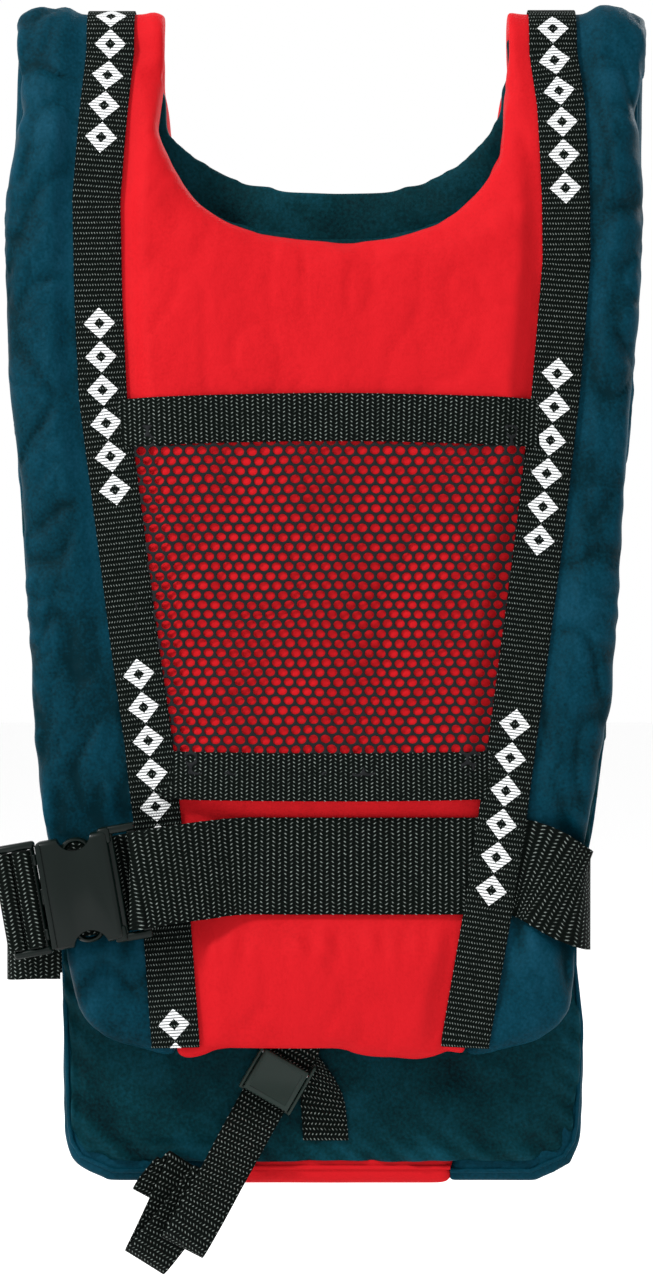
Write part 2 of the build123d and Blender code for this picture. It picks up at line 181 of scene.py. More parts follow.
def bumped(paint, height, strength, distance):
    """A bump node fed by a height."""
    bump = node_of(paint, "ShaderNodeBump")
    bump.inputs["Strength"].default_value = strength
    bump.inputs["Distance"].default_value = distance
    link(paint, height, bump.inputs["Height"])
    return bump


def webbing_paint(name, rib, dash, rib_share, wide, marks_from=None):
    """Ribbed black-green webbing whose colour follows the yarn's height: painted shade between the ribs and a
    painted highlight on the yarn tops, over random flecks. marks_from starts a repeat of plain white woven
    diamonds.
    """
    paint, shader = fresh_paint(name, 0.82, {"Specular IOR Level": 0.05})
    maths = partial(sum_of, paint)
    times, times_add = partial(maths, "MULTIPLY"), partial(maths, "MULTIPLY_ADD")
    uv = node_of(paint, "ShaderNodeUVMap")
    split = node_of(paint, "ShaderNodeSeparateXYZ")
    link(paint, uv.outputs[0], split.inputs[0])
    u, v = split.outputs[0], split.outputs[1]
    along = maths("DIVIDE", v, rib)
    zigzag = maths("PINGPONG", along, 1.0)
    slant = maths("ADD", maths("DIVIDE", u, dash), times(zigzag, 0.8))
    dashes = maths("SINE", times(slant, 2 * math.pi))
    ribs = maths("SINE", times(along, 2 * math.pi))
    ribs_up = times_add(ribs, 0.5, 0.5)
    dash_up = maths("POWER", times_add(dashes, 0.5, 0.5), 1.3)
    yarn = times(dash_up, times_add(ribs_up, rib_share, 1 - rib_share))
    grain = node_of(paint, "ShaderNodeTexNoise", in2=900.0, in3=2.0)
    link(paint, uv.outputs[0], grain.inputs[0])
    flecked = times(yarn, times_add(grain.outputs[0], 1.2, 0.35))
    # The colour follows the yarn's height: painted shade in the grooves and a painted highlight on the yarn
    # tops, with random flecks from the grain.
    weave_colour_and_shading = ramp(paint, flecked, [(0.30, (0.0010, 0.0022, 0.0016)), (0.62, (0.0085, 0.013, 0.0105)),
                                 (0.95, (0.200, 0.230, 0.215))])
    height = maths("ADD", yarn, times(ribs_up, 0.4))
    if marks_from is not None:
        repeat, block, diamond, half = 0.184, 0.1045, 0.01742, 0.0082
        hollow_share, thread_pitch = 0.36, 0.0016
        here = maths("FLOORED_MODULO", maths("SUBTRACT", v, marks_from), repeat)
        in_block = maths("LESS_THAN", here, block)
        in_cell = maths("ABSOLUTE", maths("SUBTRACT", maths("MODULO", here, diamond), diamond / 2))
        from_middle = maths("ABSOLUTE", maths("SUBTRACT", u, wide / 2))
        reach = maths("ADD", in_cell, from_middle)
        inside = maths("LESS_THAN", reach, half)
        hollow = maths("GREATER_THAN", reach, half * hollow_share)
        mask = times(times(inside, hollow), in_block)
        fine = maths("SINE", times(v, 2 * math.pi / thread_pitch))
        thread = times_add(fine, 0.5, 0.5)
        white = ramp(paint, thread, [(0.05, (0.10, 0.11, 0.11)), (0.45, (0.78, 0.80, 0.80)),
                                     (1.0, (0.9, 0.91, 0.91))])
        mixed = node_of(paint, "ShaderNodeMix", data_type="RGBA")
        link(paint, mask, mixed.inputs[0])
        link(paint, weave_colour_and_shading, mixed.inputs[6])
        link(paint, white, mixed.inputs[7])
        weave_colour_and_shading = mixed.outputs[2]
        height = maths("ADD", height, times(times(mask, thread), 0.8))
    link(paint, weave_colour_and_shading, shader.inputs["Base Color"])
    link(paint, bumped(paint, height, 0.7, 0.0006).outputs[0], shader.inputs["Normal"])
    return paint


def deselect_all():
    """Leaves nothing selected."""
    for each in list(bpy.context.selected_objects):
        each.select_set(False)


def keep_only(piece):
    """The piece becomes the one selected, active object."""
    deselect_all()
    bpy.context.view_layer.objects.active = piece
    piece.select_set(True)


def settle(piece, kind, **settings):
    """Adds a modifier, sets it and applies it."""
    keep_only(piece)
    modifier = piece.modifiers.new(kind.lower(), kind)
    for key, value in settings.items():
        setattr(modifier, key, value)
    bpy.ops.object.modifier_apply(modifier=modifier.name)


def dress(piece, paint, angle=None):
    """Smooths a piece's shading, at every edge or up to an angle, and gives it its material."""
    keep_only(piece)
    if angle:
        bpy.ops.object.shade_smooth_by_angle(angle=math.radians(angle))
    else:
        bpy.ops.object.shade_smooth()
    piece.data.materials.clear()
    piece.data.materials.append(paint)


def curve_of(name, kind, points):
    """A 3-D curve and its one spline, on points."""
    curve = bpy.data.curves.new(name, "CURVE")
    curve.dimensions = "3D"
    spline = curve.splines.new(kind)
    spline.points.add(len(points) - 1)
    for point, place in zip(spline.points, points):
        point.co = (*place, 1)
    return curve, spline


def webbing(name, middles, acrosses, wide, thick, paint, v_start=0.0, lanes=6):
    """A ribbon of webbing. middles are points of its centre line, acrosses its width direction
    at each, thick its thickness, which grows evenly to both faces."""
    deselect_all()
    rows = len(middles) - 1
    bpy.ops.mesh.primitive_grid_add(x_subdivisions=lanes, y_subdivisions=rows, size=1, calc_uvs=True)
    piece = bpy.context.object
    piece.name = name
    middles = np.array([tuple(p) for p in middles])
    acrosses = np.array([tuple(Vector(a).normalized()) for a in acrosses])
    steps = np.linalg.norm(np.diff(middles, axis=0), axis=1)
    distance = np.concatenate([[0], np.cumsum(steps)]) + v_start
    flat = np.array([tuple(v.co) for v in piece.data.vertices])
    lane = flat[:, 0] + 0.5
    row = np.rint((flat[:, 1] + 0.5) * rows).astype(int)
    placed = middles[row] + acrosses[row] * ((lane - 0.5) * wide)[:, None]
    piece.data.vertices.foreach_set("co", placed.ravel())
    layer = piece.data.uv_layers[0]
    for loop in piece.data.loops:
        layer.data[loop.index].uv = (lane[loop.vertex_index] * wide, distance[row[loop.vertex_index]])
    piece.data.update()
    settle(piece, "SOLIDIFY", thickness=thick, offset=0.0)
    settle(piece, "BEVEL", width=thick * 0.28, segments=2, limit_method="ANGLE", angle_limit=math.radians(60))
    dress(piece, paint, 50)
    return piece


strap_wide, strap_thick, belt_wide = 0.025, 0.0016, 0.050
strap_weave = {side: webbing_paint("strap_weave_" + side, rib=0.0027, dash=0.0014, rib_share=0.9,
                                   wide=strap_wide, marks_from=marks_from)
               for side, marks_from in (("left", -0.0835), ("right", -0.1095))}
plain_weave = webbing_paint("plain_weave", rib=0.0027, dash=0.0020, rib_share=0.75, wide=strap_wide)
belt_weave = webbing_paint("belt_weave", rib=0.0031, dash=0.0021, rib_share=0.75, wide=belt_wide)

# -------------------------------- crotch strap's free tail
# 25 mm webbing that leaves the lower end of the cam buckle and is folded to and fro in
# three loose folds. It is limp, bare at its end, and rides with the front panel.
lean = math.radians(30)
strap_along = Vector((math.sin(lean), 0, math.cos(lean)))
strap_across = Vector((math.cos(lean), 0, -math.sin(lean)))
cam_middle = Vector((-0.0255, 0, -0.543))
tail_exit = cam_middle - strap_along * 0.0149
# Each point: how far down the strap's line, how far forward, how far to the side, in metres.
tail_route = [(0, 0.0012, 0), (0.014, 0.003, 0), (0.034, 0.012, 0), (0.054, 0.024, 0),
              (0.066, 0.030, 0), (0.078, 0.031, 0), (0.084, 0.025, 0), (0.083, 0.017, 0),
              (0.074, 0.013, -0.0005), (0.058, 0.014, -0.0015), (0.050, 0.0145, -0.002),
              (0.045, 0.012, -0.003), (0.049, 0.009, -0.004), (0.066, 0.011, -0.0065),
              (0.084, 0.015, -0.0095), (0.096, 0.016, -0.0115), (0.103, 0.011, -0.0125),
              (0.102, 0.004, -0.0125), (0.092, 0.0005, -0.013), (0.070, 0.002, -0.015),
              (0.054, 0.004, -0.0165), (0.048, 0.003, -0.0175), (0.048, -0.0005, -0.0185),
              (0.054, -0.002, -0.020), (0.066, 0.001, -0.023), (0.073, 0, -0.0245),
              (0.074, -0.004, -0.025), (0.066, -0.006, -0.0245), (0.054, -0.005, -0.022)]
# Over the first 40 mm it also swings forward by 7 mm and turns by 14 degrees.
tail_swing, tail_twist, tail_settles = 0.007, math.radians(14), 0.040
tail_points = []
for down, out, side in tail_route:
    out += tail_swing * min(1, down / tail_settles)
    tail_points.append(tail_exit - strap_along * down + strap_across * side + Vector((0, -out, 0)))
tail_curve, tail_spline = curve_of("tail_line", "NURBS", tail_points)
tail_spline.order_u = 3
tail_spline.use_endpoint_u = True
tail_spline.resolution_u = 10
tail_holder = placed("tail_line", tail_curve)
tail_line = [v.co.copy() for v in bpy.data.meshes.new_from_object(tail_holder).vertices]
bpy.data.objects.remove(tail_holder)
# Each layer lies a little askew.
tail_turn = []
for i, here in enumerate(tail_line):
    below = (tail_exit - here).dot(strap_along)
    turn = tail_twist * min(1, max(0, (below - 0.004) / tail_settles))
    askew = 0.09 * math.sin(i * 0.11)
    tail_turn.append(strap_across * math.cos(turn) + Vector((0, 1, 0)) * math.sin(turn) + strap_along * askew)
strap_tail = webbing("crotch_strap_tail", tail_line, tail_turn, strap_wide, 0.0015, plain_weave)
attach(strap_tail, "front")
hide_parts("strap_tail")

# -------------------------------- padded panels
# Foam slabs in proofed nylon covers: navy sides and a red middle, each one run of cloth from
# the front hem over the shoulder to the back hem. They are sewn flat and hung over a fold,
# so they are made flat here too: x across, s down the front from the top of the shoulder
# (negative down the back), d outwards from the inner face. Cloth simulation fills them.
fold_inner = 0.004
fold_z = 0.001
fold_middle = 0.014
quarter = fold_middle * math.pi / 2


def s_of(z):
    """The front's path distance at a height below the fold."""
    return quarter + fold_z - z


def hang(flat):
    """Flat (x, s, d) rows to hanging (x, y, z) rows."""
    x, s, d = flat[:, 0], flat[:, 1], flat[:, 2]
    side = np.sign(s) + (s == 0)
    turn = np.clip(np.abs(s), 0, quarter) / fold_middle
    leg = np.clip(np.abs(s) - quarter, 0, None)
    y = -side * (fold_inner + d) * np.sin(turn)
    z = fold_z + (fold_inner + d) * np.cos(turn) - leg
    return np.stack([x, y, z], axis=1)


front_thick, back_thick, fold_thick = 0.0300, 0.0280, 0.0172


def full_depth(s):
    """How thick the padding is at a path distance, thinner over the shoulder."""
    body = np.where(s > 0, front_thick, back_thick)
    grown = np.clip((np.abs(s) - 0.018) / 0.062, 0, 1)
    grown = grown * grown * (3 - 2 * grown)
    return fold_thick + (body - fold_thick) * grown


def line_of(points):
    """x along s from (z, x) points in mm: the front as given, the back with s below 0."""
    s = np.array([p[0] for p in points])
    x = np.array([p[1] for p in points]) / 1000
    order = np.argsort(s)
    return lambda at: np.interp(at, s[order], x[order])


def both(front, back):
    """(z, x) points in mm of the front and back, joined into one line over the shoulder."""
    run = [(s_of(z / 1000), x) for z, x in front] + [(-s_of(z / 1000), x) for z, x in back]
    return line_of(run)


left_edge = both([(-4, -163), (-31, -160.5), (-58, -165), (-83, -168), (-135, -167), (-177, -166.5),
                  (-208, -163), (-239, -160.5), (-291, -158), (-364, -153.5), (-403, -149),
                  (-440, -141), (-476, -135.5), (-499, -130.5), (-522, -127)],
                 [(-4, -163), (-60, -165), (-190, -167), (-300, -160), (-400, -151), (-440, -143),
                  (-490, -142), (-560, -140), (-594, -138)])
right_edge = both([(-4, 168), (-20, 166), (-31, 163.5), (-57, 166), (-86, 166), (-135, 163.2),
                   (-187, 158.6), (-257, 155.5), (-302, 153.4), (-343, 150.5), (-364, 146),
                   (-411, 138), (-440, 134), (-467, 131.6), (-497, 129.5), (-522, 125)],
                  [(-4, 168), (-60, 167), (-187, 163), (-257, 157.5), (-343, 152.4), (-364, 150),
                   (-411, 144), (-450, 136), (-483, 135), (-519, 139), (-564, 136.5), (-594, 134)])
left_seam = both([(-4, -113), (-31, -115.5), (-83, -119.5), (-135, -118.5), (-187, -116), (-248, -108),
                  (-319, -99), (-364, -92.5), (-420, -86.5), (-477, -81.6), (-522, -78.3)],
                 [(-4, -113), (-83, -119), (-195, -112), (-594, -62)])
right_seam = both([(-4, 119), (-31, 122.5), (-83, 125), (-115, 125.3), (-187, 119.3), (-257, 111.3),
                   (-327, 102.2), (-403, 92), (-454, 84.2), (-522, 72.5)],
                  [(-4, 119), (-83, 125), (-195, 116), (-594, 66)])


edge_steps = 150


def side_outline(edge, seam, low_z, back_z):
    """A side cover's flat outline: down its outer edge, round the corners, up its seam."""
    front_round, front_inward, back_round = 0.030, 0.044, 0.022
    outer = []
    for s in np.linspace(-s_of(back_z), s_of(low_z), edge_steps):
        from_front = max(0.0, s - (s_of(low_z) - front_round)) / front_round
        from_back = max(0.0, (-s_of(back_z) + back_round) - s) / back_round
        inward = front_inward * (1 - math.sqrt(max(0.0, 1 - from_front ** 2)))
        inward += back_round * (1 - math.sqrt(max(0.0, 1 - from_back ** 2)))
        toward = math.copysign(1, float(seam(s) - edge(s)))
        outer.append((float(edge(s)) + toward * inward, float(s)))
    inner = [(float(seam(s)), float(s)) for s in np.linspace(s_of(low_z), -s_of(back_z), 90)]
    return outer + inner


# The neck opening as (x, z) points in mm, front and back.
neck_front = [(-85, -4), (-86, -31), (-86, -48), (-77, -66), (-66, -80), (-51, -89), (-33, -94.5),
              (-11, -97.5), (12, -99), (34, -97), (56, -91), (72, -82.5), (83, -71), (90, -56),
              (93.5, -42), (94, -28), (96, -4)]
neck_back = [(95, -14), (91, -38), (82, -52), (71, -62), (55, -71), (39, -75.5), (3, -78.5),
             (-27, -75.5), (-44, -72), (-60, -65), (-71, -57), (-82, -48), (-86, -20)]
neck_hole = [(x / 1000, s_of(z / 1000)) for x, z in neck_front]
neck_hole += [(x / 1000, -s_of(z / 1000)) for x, z in neck_back]


def middle_outline(low_z, back_z):
    """The red middle's flat outline, with a hem that waves a little."""
    steps = np.linspace(-s_of(back_z), s_of(low_z), 110)
    left = [(float(left_seam(s)), float(s)) for s in steps]
    right = [(float(right_seam(s)), float(s)) for s in steps[::-1]]
    hem = []
    for t in np.linspace(0, 1, 22)[1:-1]:
        x = left[-1][0] * (1 - t) + right[0][0] * t
        wave = 0.0022 * math.sin(t * 15.5 + 2.0) + 0.0012 * math.sin(t * 31)
        hem.append((x, s_of(low_z) + wave))
    return left + hem + right


def sewn_slab(name, outline, low, high, hole=None):
    """A flat slab between two depths, with an optional hole."""
    def prism(title, ring, below, above):
        shape = bmesh.new()
        base = shape.faces.new([shape.verts.new((x, s, 0)) for x, s in ring])
        bmesh.ops.triangulate(shape, faces=[base])
        raised = bmesh.ops.extrude_face_region(shape, geom=shape.faces[:])
        for vert in shape.verts:
            vert.co.z = below
        for vert in [g for g in raised["geom"] if isinstance(g, bmesh.types.BMVert)]:
            vert.co.z = above
        bmesh.ops.recalc_face_normals(shape, faces=shape.faces)
        mesh = bpy.data.meshes.new(title)
        shape.to_mesh(mesh)
        shape.free()
        return placed(title, mesh)

    slab = prism(name, outline, low, high)
    if hole:
        cutter = prism(name + "_cutter", hole, low - 0.01, high + 0.01)
        settle(slab, "BOOLEAN", object=cutter, operation="DIFFERENCE", solver="EXACT")
        bpy.data.objects.remove(cutter)
    return slab


def coords(piece):
    """A mesh's vertices as rows of an array."""
    flat = np.empty(len(piece.data.vertices) * 3)
    piece.data.vertices.foreach_get("co", flat)
    return flat.reshape(-1, 3)


def put_coords(piece, flat):
    """Moves a mesh's vertices to the rows of an array."""
    piece.data.vertices.foreach_set("co", np.ascontiguousarray(flat, dtype=np.float64).ravel())
    piece.data.update()


def waver(x, y, z):
    """Smooth noise at a point, between about -1 and 1."""
    return noise.noise(Vector((x, y, z)))


def ease(value, low, high):
    """0 below low, 1 above high, and a smooth step between."""
    t = np.clip((value - low) / (high - low), 0, 1)
    return t * t * (3 - 2 * t)


cloth_steps = 20


def fill_with_foam(piece, voxel, pressure, cap, spare, seed):
    """Remeshes the flat slab, blows it up as cloth with some spare fabric, and smooths it.
    No point moves further than cap."""
    settle(piece, "REMESH", mode="VOXEL", voxel_size=voxel)
    start = coords(piece)
    ripple = np.array([waver(x * 38, s * 30, d * 40 + seed) for x, s, d in start])
    start[:, 2] += 0.0006 * ripple
    put_coords(piece, start)
    keep_only(piece)
    cloth = piece.modifiers.new("cloth", "CLOTH")
    fabric = dict(quality=4, mass=0.25, tension_stiffness=12, compression_stiffness=12, shear_stiffness=6,
                  bending_stiffness=0.35, air_damping=6, use_pressure=True,
                  uniform_pressure_force=pressure, shrink_min=-spare)
    for key, value in fabric.items():
        setattr(cloth.settings, key, value)
    cloth.settings.effector_weights.gravity = 0
    cloth.point_cache.frame_end = cloth_steps
    for step in range(1, cloth_steps + 1):
        bpy.context.scene.frame_set(step)
    bpy.ops.object.modifier_apply(modifier=cloth.name)
    moved = coords(piece) - start
    length = np.linalg.norm(moved, axis=1)
    scale = np.where(length > cap, cap / np.maximum(length, 1e-9), 1)
    put_coords(piece, start + moved * scale[:, None])
    bpy.context.scene.frame_set(1)
    settle(piece, "SUBSURF", levels=1, render_levels=1)
    settle(piece, "SMOOTH", factor=0.5, iterations=2)


def belt_centre_z(x, side):
    """The belt's middle height across the front (side 1) or back (side -1)."""
    if side > 0:
        droop = 0.024 * ease(x, 0.098, 0.150) + 0.0035 * ease(-x, 0.03, 0.13)
        return -0.430 - droop
    return -0.458 + x * 0.0565


def press_webbing(piece, gathers):
    """Presses the straps and the belt into the padding. The cloth gathers beside the belt; how far the gathers
    raise it is returned, for the painted shade and highlight of the cloth's colour.
    """
    flat = coords(piece)
    x, s, d = flat[:, 0].copy(), flat[:, 1], flat[:, 2]
    full = full_depth(s)
    level = d.copy()
    z = fold_z + quarter - np.abs(s)
    under_belt = np.zeros(len(flat))
    raised = np.zeros(len(flat))
    # How deep the belt and the straps sink, where the belt starts to turn round each side,
    # over what length, and how far in it holds the right edge.
    belt_sinks, strap_sinks, turn_long, right_limit = 0.0050, 0.0034, 0.024, 0.1350
    for side, right_end, left_end in ((1, 0.108, 0.150), (-1, 0.114, 0.118)):
        here = (s * side) > 0.05
        away = np.abs(z - belt_centre_z(x, side))
        wave = np.sin(2 * math.pi * x / 0.023 + 2.6 * np.sin(x * 61 + side))
        wave += 0.6 * np.sin(2 * math.pi * x / 0.012 + 9 * z)
        beside = np.exp(-(((away - 0.034) / 0.013) ** 2)) * here * ease(d, 0.010, 0.020)
        level += gathers * wave * beside
        raised += gathers * wave * beside
        near = (1 - ease(away, 0.0255, 0.046)) * here
        groove = full - belt_sinks - 0.016 * ease(x, right_end, right_end + turn_long)
        groove -= 0.010 * ease(-x, left_end, left_end + turn_long)
        level = np.where(level > groove, level + (groove - level) * near, level)
        flat[:, 0] = np.where(x > right_limit, x + (right_limit - x) * near, flat[:, 0])
        under_belt = np.maximum(under_belt, near)
    for seam, over in ((left_seam, False), (right_seam, True)):
        away = np.abs(x - seam(s))
        pinched = np.where((s > 0) & over, 0.0018, 0.0036) * under_belt
        groove = full - strap_sinks - pinched
        near = 1 - ease(away, 0.0140, 0.026)
        level = np.where(level > groove, level + (groove - level) * near, level)
    flat[:, 2] = level
    put_coords(piece, flat)
    return raised


def keep_relief(piece, relief):
    """Stores how far each point stands out, so that the cloth's colour can follow it: painted shade where it
    sinks and a painted highlight where it stands out.
    """
    layer = piece.data.attributes.new("relief", "FLOAT", "POINT")
    layer.data.foreach_set("value", relief.astype(np.float32))


def seam_puckers(piece, edges, deep, pitch):
    """Small gathers square to a seam, strongest at the stitching and gone 18 mm away."""
    flat = coords(piece)
    x, s, d = flat[:, 0], flat[:, 1], flat[:, 2]
    outer = ease(d, 0.004, 0.012)
    for number, edge in enumerate(edges):
        away = np.abs(x - edge(s))
        strength = np.exp(-((away / 0.011) ** 2))
        phase = 2 * math.pi * s / pitch + 1.7 * np.sin(s * 41 + number) + 1.1 * np.sin(s * 97 + 2 * number)
        size = 0.55 + 0.45 * np.sin(s * 23 + 3 * number)
        flat[:, 2] += deep * strength * size * np.sin(phase) * outer
        flat[:, 0] += 0.35 * deep * strength * size * np.cos(phase) * np.sign(x - edge(s))
    put_coords(piece, flat)


def slow_folds(piece, deep, seed):
    """Long soft folds in the cloth, as foam-backed nylon shows when it hangs."""
    flat = coords(piece)
    extra = np.empty(len(flat))
    for i, (x, s, d) in enumerate(flat):
        tilted = Vector((x * 17 + s * 6, s * 11 - x * 9, seed))
        extra[i] = noise.noise(tilted) + 0.45 * noise.noise(tilted * 2.3)
    flat[:, 2] += deep * extra * ease(flat[:, 2], 0.006, 0.016)
    put_coords(piece, flat)


def creases(piece, deep, seed):
    """Short sharp creases between softer swells, as proofed nylon over foam shows."""
    flat = coords(piece)
    extra = np.empty(len(flat))
    for i, (x, s, d) in enumerate(flat):
        bent = Vector((x * 34 + s * 9, s * 19 - x * 12, seed * 3.1))
        bent += Vector((0, 0, 1)) * waver(x * 20, s * 20, seed)
        ridge = 1 - abs(noise.noise(bent)) * 2.6
        fine = 1 - abs(noise.noise(bent * 2.7 + Vector((7, 3, 1)))) * 2.6
        extra[i] = max(0.0, ridge) ** 3 + 0.45 * max(0.0, fine) ** 3
    flat[:, 2] -= deep * extra * ease(flat[:, 2], 0.008, 0.018)
    put_coords(piece, flat)


nylon_weave = 0.0008


def nylon_paint(name, deep, lit, crest_highlight, sheen, relief_shade_gain):
    """Proofed plain-weave nylon: a fine square weave, soft sheen and cloudy colour, with painted shade in its
    creases and a painted highlight on its crests, set by the relief attribute.
    """
    paint, shader = fresh_paint(name, 0.5, {"Sheen Weight": 0.25, "Sheen Roughness": 0.35,
                                            "Sheen Tint": (*sheen, 1), "Specular IOR Level": 0.03})
    maths = partial(sum_of, paint)
    times, times_add = partial(maths, "MULTIPLY"), partial(maths, "MULTIPLY_ADD")
    place = node_of(paint, "ShaderNodeTexCoord")
    cloud = node_of(paint, "ShaderNodeTexNoise", in2=26.0, in3=4.0)
    link(paint, place.outputs["Object"], cloud.inputs[0])
    speck = node_of(paint, "ShaderNodeTexNoise", in2=620.0, in3=3.0)
    link(paint, place.outputs["Object"], speck.inputs[0])
    blend = maths("ADD", times(cloud.outputs[0], 0.45), times(speck.outputs[0], 0.55))
    # The relief attribute darkens the colour as painted shade where the cloth sinks and lightens it as a
    # painted highlight where it stands out; the noise adds random mottle.
    stands = node_of(paint, "ShaderNodeAttribute", attribute_name="relief")
    shade_highlight_and_mottle = times_add(stands.outputs["Fac"], relief_shade_gain, blend)
    colour = ramp(paint, shade_highlight_and_mottle, [(0.25, deep), (0.50, lit), (0.85, crest_highlight)])
    link(paint, colour, shader.inputs["Base Color"])
    split = node_of(paint, "ShaderNodeSeparateXYZ")
    link(paint, place.outputs["Object"], split.inputs[0])
    warp = maths("SINE", times(split.outputs[0], 2 * math.pi / nylon_weave))
    weft = maths("SINE", times(split.outputs[2], 2 * math.pi / nylon_weave))
    square = times(warp, weft)
    rough = times_add(speck.outputs[0], 0.25, 0.36)
    link(paint, rough, shader.inputs["Roughness"])
    fine = bumped(paint, square, 0.35, 0.0002)
    crease = node_of(paint, "ShaderNodeTexNoise", in2=55.0, in3=5.0, in4=0.6)
    link(paint, place.outputs["Object"], crease.inputs[0])
    soft = bumped(paint, crease.outputs[0], 0.35, 0.0030)
    link(paint, fine.outputs[0], soft.inputs["Normal"])
    link(paint, soft.outputs[0], shader.inputs["Normal"])
    return paint


# Each colour: painted shade in a crease, on the flat, and a painted highlight on a crest, then its sheen.
navy = nylon_paint("navy_nylon", (0.0002, 0.013, 0.019), (0.0008, 0.029, 0.047), (0.005, 0.050, 0.084),
                   (0.0, 0.10, 0.16), 60)
red = nylon_paint("red_nylon", (0.41, 0.0060, 0.0095), (0.47, 0.0078, 0.0120), (0.50, 0.0090, 0.0140),
                  (0.8, 0.02, 0.03), 22)
lining_navy = nylon_paint("lining_nylon", (0.0001, 0.006, 0.008), (0.0005, 0.021, 0.027),
                          (0.003, 0.046, 0.068), (0.0, 0.09, 0.12), 65)

cover_floor = 0.0021
cover_top = 0.026
cover_hem = -0.5235
side_pieces = ("front_cover_", "back_cover_", "front_shoulder_", "back_shoulder_", "shoulder_ridge_",
               "front_foam_", "back_foam_")
panels = {}
for side, edge, seam, seed in (("left", left_edge, left_seam, 1.3), ("right", right_edge, right_seam, 4.1)):
    outline = side_outline(edge, seam, cover_hem, -0.594)
    stands_for = [kind + side for kind in side_pieces]
    panels["side_cover_" + side] = (outline, None, navy, (edge, seam), seed, stands_for)
panels["middle_cover"] = (middle_outline(cover_hem, -0.5955), neck_hole, red, (left_seam, right_seam), 7.7,
                          ["front_cover_centre", "back_cover_centre", "front_foam_centre", "back_foam_centre"])
for name, (outline, hole, paint, edges, seed, stands_for) in panels.items():
    cover = sewn_slab(name, outline, cover_floor, cover_top, hole)
    fill_with_foam(cover, voxel=0.0045, pressure=4.0, cap=0.006, spare=0.03, seed=seed)
    shape = coords(cover)
    # The slab was made of one thickness; here it thins over the shoulder.
    swell = (shape[:, 2] - cover_floor) / (cover_top + 0.0005)
    grown = cover_floor + swell * (full_depth(shape[:, 1]) - cover_floor)
    shape[:, 2] = np.maximum(cover_floor, grown)
    put_coords(cover, shape)
    smooth_depth = coords(cover)[:, 2].copy()
    folds, sharp, gathers = (0.0030, 0.0030, 0.0022) if paint is navy else (0.0022, 0.0009, 0.0012)
    slow_folds(cover, folds, seed)
    seam_puckers(cover, edges, deep=0.0012, pitch=0.021)
    creases(cover, sharp, seed)
    # The folds, puckers, creases and belt gathers set the cover's painted shade in its hollows and painted
    # highlight on its crests.
    relief = coords(cover)[:, 2] - smooth_depth
    keep_relief(cover, relief + press_webbing(cover, gathers))
    hung = hang(coords(cover))
    if paint is red:
        flat_red = BVHTree.FromPolygons([tuple(v.co) for v in cover.data.vertices],
                                        [tuple(p.vertices) for p in cover.data.polygons])
        # The hem's underside is drawn up over the cam buckle, clear of its lever.
        over_cam = (1 - ease(np.abs(hung[:, 0] + 0.024), 0.020, 0.040)) * (hung[:, 1] < 0)
        past = np.minimum(0, hung[:, 2] - cover_hem + 0.001)
        hung[:, 2] -= past * 0.85 * over_cam
    put_coords(cover, hung)
    dress(cover, paint)
    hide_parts(*stands_for)
    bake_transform(cover)

# -------------------------------- lining
# The inside of the vest is one navy cloth, front and back. The back's lower half shows below
# the front's hem, with its edge turned and top-stitched 6 mm in.


lining_top_s = 0.012


def lining_outline(side, low_z):
    """The lining's flat outline on one side of the fold: neck, shoulders, edges and hem."""
    far = side * s_of(low_z)
    run = np.linspace(side * lining_top_s, far, 90)
    left, right = [], []
    for s in run:
        near_hem = max(0.0, 1 - abs(far - s) / 0.026)
        inward = 0.003 + 0.026 * (1 - math.sqrt(max(0.0, 1 - near_hem ** 2)))
        left.append((float(left_edge(s)) + inward, float(s)))
        right.append((float(right_edge(s)) - inward, float(s)))
    hem = []
    for t in np.linspace(0, 1, 30)[1:-1]:
        hem.append((left[-1][0] * (1 - t) + right[-1][0] * t, far + 0.0012 * math.sin(t * 21) * side))
    return left + hem + right[::-1]


def lining_hole(side, rise):
    """The neck's notch in one side's lining, rise higher than the cover's."""
    edge = neck_front if side > 0 else neck_back[::-1]
    notch = [(x / 1000 * (1 - rise * 8), side * (s_of(z / 1000) - rise)) for x, z in edge]
    first, last = notch[0], notch[-1]
    return [(first[0], side * -0.01)] + notch + [(last[0], side * -0.01)]


piping_r = 0.0013
piping_inset = 0.0032


def piping(name, path, paint, body):
    """A corded edge sewn between the cover and the lining, along a flat (x, s) path."""
    line, _ = curve_of(name, "POLY", hang(np.array([(x, s, 0.0020) for x, s in path])))
    line.bevel_depth = piping_r
    line.bevel_resolution = 2
    line.use_fill_caps = True
    keep_only(placed(name, line))
    bpy.ops.object.convert(target="MESH")
    holder = bpy.context.object
    dress(holder, paint)
    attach(holder, body)


for side, body in ((1, "front"), (-1, "back")):
    for name, (outline, hole, paint, edges, seed, stands_for) in panels.items():
        if paint is red:
            path = [(x, s) for x, s in outline if s * side > 0.030]
            hem = max(abs(s) for x, s in path)
            path = [(x, s - side * piping_inset) for x, s in path if abs(s) > hem - 0.006]
            path.sort(key=lambda place: place[0])
        else:
            seam = left_seam if "left" in name else right_seam
            inward = piping_inset if "left" in name else -piping_inset
            path = [(x + inward, s) for x, s in outline[:edge_steps] if s * side > 0.030]
            if side > 0:
                path.append((float(seam(path[-1][1])), path[-1][1]))
            else:
                path.insert(0, (float(seam(path[0][1])), path[0][1]))
        piping(f"{body}_piping_{name}", path, paint, body)

